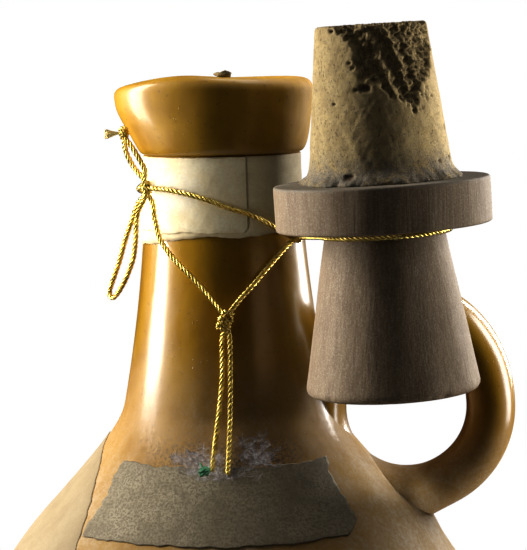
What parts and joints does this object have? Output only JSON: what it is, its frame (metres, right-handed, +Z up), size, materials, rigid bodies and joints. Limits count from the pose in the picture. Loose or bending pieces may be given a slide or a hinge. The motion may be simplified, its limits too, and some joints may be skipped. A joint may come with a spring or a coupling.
{
  "type": "ceramic liquor bottle",
  "caption": "Glazed stoneware jug with a pulled spout, a ring handle, bare paper labels and a wooden cork stopper that hangs beside the neck in a knotted gold cord.",
  "frame": {"origin": "centre of the foot ring, on the surface the bottle stands on", "axes": "+Z up along the neck, +X towards the ring handle, -X towards the spout, -Y towards the front label"},
  "size_m": [0.12, 0.12, 0.2097],
  "materials": {
    "glaze": "glossy caramel glaze, dusty in the hollows",
    "label_paper": "aged cream paper, worn at the edges",
    "stained_paper": "dark stained paper under dust",
    "wood": "weathered grey-brown turned wood",
    "cork": "dry crumbling cork",
    "gold_cord": "twisted metallic thread, slightly tarnished",
    "green_thread": "green thread scrap"
  },
  "bodies": {
    "bottle": {"jug_body": "glaze", "loop_handle": "glaze", "neck_band": "label_paper", "neck_label": "label_paper", "front_label": "stained_paper", "side_label": "label_paper"},
    "collar": {"collar_front": "gold_cord", "collar_back": "gold_cord", "side_knot": "gold_cord", "side_bight": "gold_cord", "end_strand_front": "gold_cord", "end_strand_back": "gold_cord", "end_knot": "gold_cord", "frayed_end": "gold_cord", "necklace_left": "gold_cord", "necklace_right": "gold_cord", "front_knot": "gold_cord", "tail_left": "gold_cord", "tail_right": "gold_cord", "green_tip": "green_thread"},
    "sling": {"sling_loop": "gold_cord", "sling_knot": "gold_cord"},
    "stopper": {"stopper_head": "wood", "cork_plug": "cork"}
  },
  "joints": [
    {"name": "collar_turn", "type": "hinge", "parent": "bottle", "child": "collar", "pos_m": [0, 0, 0.1687], "axis": [0, 0, 1], "range_deg": [-150, 0]},
    {"name": "stopper_swing", "type": "hinge", "parent": "collar", "child": "sling", "pos_m": [0.01428, -0.01132, 0.1687], "axis": [-0.6632, 0.7484, 0], "range_deg": [-8, 45]},
    {"name": "stopper_spin", "type": "hinge", "parent": "sling", "child": "stopper", "pos_m": [0.03025, -0.02952, 0.17095], "axis": [-0.0427, 0, 0.9991], "continuous": true}
  ]
}
